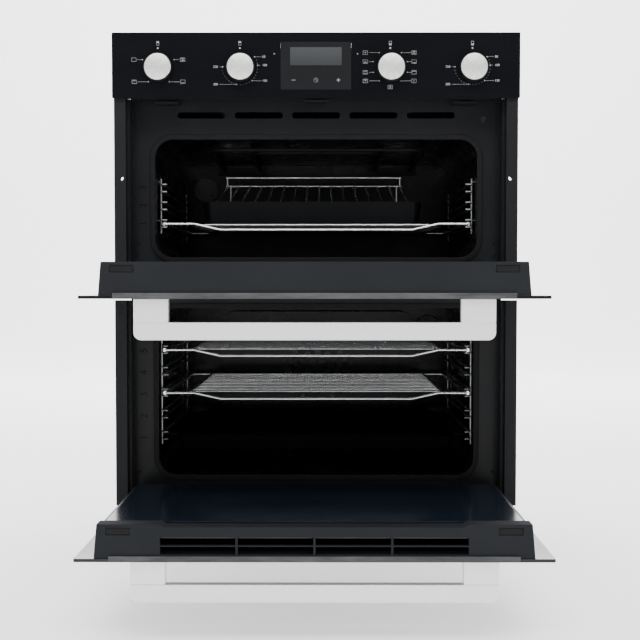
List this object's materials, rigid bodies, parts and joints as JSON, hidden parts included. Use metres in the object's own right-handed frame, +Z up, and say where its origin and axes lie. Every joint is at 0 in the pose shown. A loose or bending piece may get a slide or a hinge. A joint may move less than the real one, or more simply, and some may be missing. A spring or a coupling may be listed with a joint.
{
  "type": "built-under double wall oven",
  "caption": "Built-under double oven with a knob and timer fascia, a grill cavity over a fan cavity, and drop-down glass doors standing open.",
  "frame": {"origin": "underside of the base, on the centre line, in the plane of the cabinet front", "axes": "+X to the right seen from the front, +Y into the cabinet, +Z up"},
  "size_m": [0.595, 0.858, 0.7604],
  "materials": {
    "zinc_sheet": "galvanised sheet",
    "trim_grey": "satin lacquer",
    "frame_grey": "satin lacquer",
    "dark_enamel": "fired gloss enamel with fine specks",
    "seal_rubber": "matt",
    "wool": "loose mineral wool",
    "wire_chrome": "polished",
    "heater_steel": "heat-darkened",
    "fan_steel": "pressed sheet",
    "motor_steel": "laminated core",
    "lamp_ceramic": "unglazed",
    "lamp_glass": "ribbed",
    "black_glass": "polished, back-printed black",
    "carrier_plastic": "fine grain",
    "display_plastic": "polished",
    "circuit_board": "resist",
    "white_plastic": "moulded",
    "knob_metal": "turned, satin",
    "hinge_steel": "plated",
    "inner_glass": "heat-reflecting coating",
    "door_steel": "satin lacquer",
    "rail_plastic": "satin lacquer",
    "handle_steel": "fine lengthwise brush"
  },
  "bodies": {
    "casing": {"base_plate": "zinc_sheet", "side_panel_left": "zinc_sheet", "side_panel_right": "zinc_sheet", "rear_panel": "zinc_sheet", "top_panel": "zinc_sheet", "front_frame": "frame_grey", "side_trim_left": "trim_grey", "side_trim_right": "trim_grey", "bottom_trim": "frame_grey", "upper_cavity": "dark_enamel", "lower_cavity": "dark_enamel", "upper_seal": "seal_rubber", "lower_seal": "seal_rubber", "insulation": "wool", "upper_racks": "wire_chrome", "lower_racks": "wire_chrome", "grill_element": "heater_steel", "base_element": "heater_steel", "ring_element": "heater_steel", "fan_cover": "dark_enamel", "fan_motor": "motor_steel", "blower_housing": "zinc_sheet", "blower_motor": "motor_steel", "air_duct": "zinc_sheet", "oven_lamps": "lamp_ceramic", "lamp_lenses": "lamp_glass", "fascia_glass": "black_glass", "fascia_carrier": "carrier_plastic", "display_window": "display_plastic", "timer_module": "circuit_board", "rotary_switches": "white_plastic", "terminal_box": "white_plastic", "hinge_brackets": "hinge_steel", "hinge_pins": "hinge_steel"},
    "upper_door": {"upper_door_glass": "black_glass", "upper_door_inner_glass": "inner_glass", "upper_door_frame": "door_steel", "upper_door_rail": "rail_plastic", "upper_hinge_arms": "hinge_steel", "upper_handle_bar": "handle_steel", "upper_handle_posts": "handle_steel"},
    "lower_door": {"lower_door_glass": "black_glass", "lower_door_inner_glass": "inner_glass", "lower_door_frame": "door_steel", "lower_door_rail": "rail_plastic", "lower_hinge_arms": "hinge_steel", "lower_handle_bar": "handle_steel", "lower_handle_posts": "handle_steel"},
    "upper_function_control": {"upper_function_knob": "knob_metal"},
    "upper_thermostat_control": {"upper_thermostat_knob": "knob_metal"},
    "lower_function_control": {"lower_function_knob": "knob_metal"},
    "lower_thermostat_control": {"lower_thermostat_knob": "knob_metal"},
    "upper_shelf_body": {"upper_shelf": "wire_chrome"},
    "pan_body": {"grill_pan": "dark_enamel", "grill_trivet": "wire_chrome"},
    "top_shelf_body": {"lower_shelf_top": "wire_chrome"},
    "middle_shelf_body": {"lower_shelf_middle": "wire_chrome"},
    "tray_body": {"baking_tray": "dark_enamel"},
    "fan_rotor": {"fan_impeller": "fan_steel"},
    "blower_rotor": {"blower_wheel": "fan_steel"}
  },
  "joints": [
    {"name": "upper_door_hinge", "type": "hinge", "parent": "casing", "child": "upper_door", "pos_m": [0, -0.002, 0.353], "axis": [-1, 0, 0], "range_deg": [0, 90]},
    {"name": "lower_door_hinge", "type": "hinge", "parent": "casing", "child": "lower_door", "pos_m": [0, -0.002, 0.029], "axis": [-1, 0, 0], "range_deg": [0, 90]},
    {"name": "upper_function_turn", "type": "hinge", "parent": "casing", "child": "upper_function_control", "pos_m": [-0.229, -0.022, 0.6652], "axis": [0, 1, 0], "continuous": true},
    {"name": "upper_thermostat_turn", "type": "hinge", "parent": "casing", "child": "upper_thermostat_control", "pos_m": [-0.1095, -0.022, 0.6652], "axis": [0, 1, 0], "range_deg": [0, 300]},
    {"name": "lower_function_turn", "type": "hinge", "parent": "casing", "child": "lower_function_control", "pos_m": [0.1095, -0.022, 0.6652], "axis": [0, 1, 0], "continuous": true},
    {"name": "lower_thermostat_turn", "type": "hinge", "parent": "casing", "child": "lower_thermostat_control", "pos_m": [0.229, -0.022, 0.6652], "axis": [0, 1, 0], "range_deg": [0, 300]},
    {"name": "upper_shelf_slide", "type": "slide", "parent": "casing", "child": "upper_shelf_body", "axis": [0, 1, 0], "range_m": [-0.3, 0]},
    {"name": "grill_pan_slide", "type": "slide", "parent": "upper_shelf_body", "child": "pan_body", "axis": [0, 1, 0], "range_m": [-0.1, 0]},
    {"name": "top_shelf_slide", "type": "slide", "parent": "casing", "child": "top_shelf_body", "axis": [0, 1, 0], "range_m": [-0.3, 0]},
    {"name": "middle_shelf_slide", "type": "slide", "parent": "casing", "child": "middle_shelf_body", "axis": [0, 1, 0], "range_m": [-0.3, 0]},
    {"name": "baking_tray_slide", "type": "slide", "parent": "casing", "child": "tray_body", "axis": [0, 1, 0], "range_m": [-0.3, 0]},
    {"name": "fan_spin", "type": "hinge", "parent": "casing", "child": "fan_rotor", "pos_m": [0, 0.42, 0.188], "axis": [0, 1, 0], "continuous": true},
    {"name": "blower_spin", "type": "hinge", "parent": "casing", "child": "blower_rotor", "pos_m": [0, 0.245, 0.65], "axis": [1, 0, 0], "continuous": true}
  ]
}
